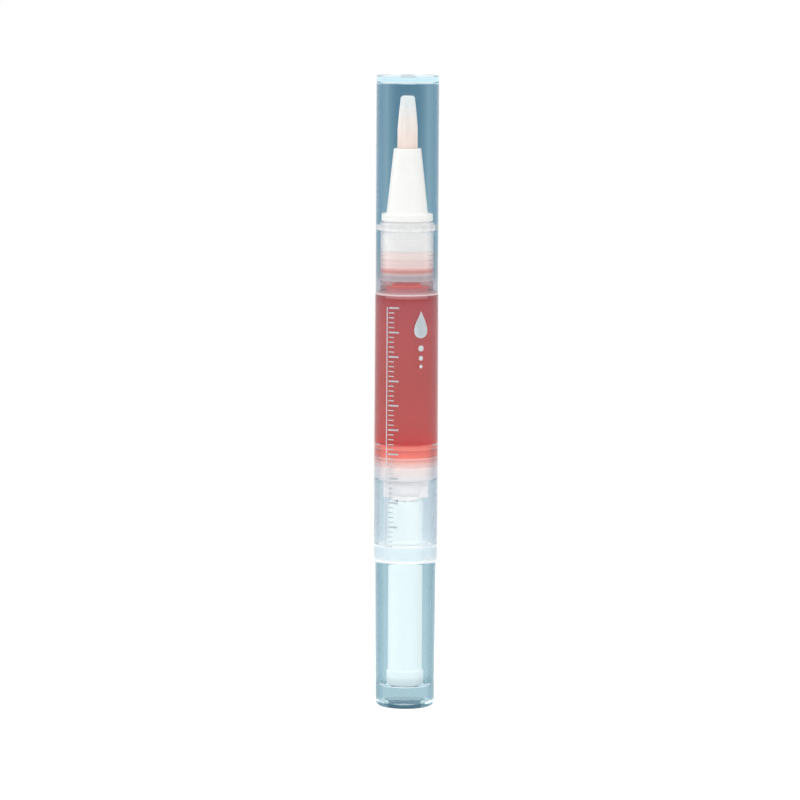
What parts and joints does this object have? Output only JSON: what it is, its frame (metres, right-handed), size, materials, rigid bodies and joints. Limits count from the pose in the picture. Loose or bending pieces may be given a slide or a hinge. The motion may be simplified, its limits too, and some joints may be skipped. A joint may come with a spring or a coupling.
{
  "type": "twist-up cuticle oil pen",
  "caption": "Twist-up pen dispenser: turning the clear end screws a piston up a frosted barrel and feeds oil to a capped brush.",
  "frame": {"origin": "centre of the flat ring under the knob that the pen stands on", "axes": "+Z along the pen towards the cap; +X to the right and +Y away as the picture sees it"},
  "size_m": [0.0132, 0.0132, 0.13],
  "materials": {
    "cap_clear": "clear moulded, polished",
    "bristle_nylon": "fine nylon strands",
    "ferrule_white": "satin moulded",
    "tube_natural": "natural",
    "plug_frosted": "frosted",
    "barrel_frosted": "frosted see-through",
    "oil_red": "clear liquid",
    "piston_natural": "natural",
    "guide_natural": "natural, half clear",
    "ratchet_white": "natural",
    "rod_white": "satin moulded",
    "sleeve_white": "satin moulded",
    "knob_clear": "clear moulded, polished"
  },
  "bodies": {
    "barrel": {"barrel": "barrel_frosted", "brush_ferrule": "ferrule_white", "brush_bristles": "bristle_nylon", "feed_tube": "tube_natural", "inner_plug": "plug_frosted", "oil_charge": "oil_red", "oil_neck_fill": "oil_red", "guide_nut": "guide_natural", "ratchet_ring": "ratchet_white"},
    "cap": {"cap": "cap_clear"},
    "knob": {"knob": "knob_clear", "drive_sleeve": "sleeve_white"},
    "rod": {"screw_rod": "rod_white"},
    "piston": {"piston": "piston_natural"}
  },
  "joints": [
    {"name": "cap_pull", "type": "slide", "parent": "barrel", "child": "cap", "axis": [0, 0, 1], "range_m": [0, 0.048]},
    {"name": "knob_twist", "type": "hinge", "parent": "barrel", "child": "knob", "pos_m": [0, 0, 0], "axis": [0, 0, 1], "range_deg": [0, 5220]},
    {"name": "rod_advance", "type": "slide", "parent": "knob", "child": "rod", "axis": [0, 0, 1], "range_m": [0, 0.029]},
    {"name": "piston_advance", "type": "slide", "parent": "barrel", "child": "piston", "axis": [0, 0, 1], "range_m": [0, 0.029], "deforming": ["oil_charge"]}
  ],
  "couplings": [
    {"joint": "knob_twist", "follows": "piston_advance", "rad_per_m": 3141.6},
    {"joint": "rod_advance", "follows": "piston_advance", "ratio": 1}
  ]
}
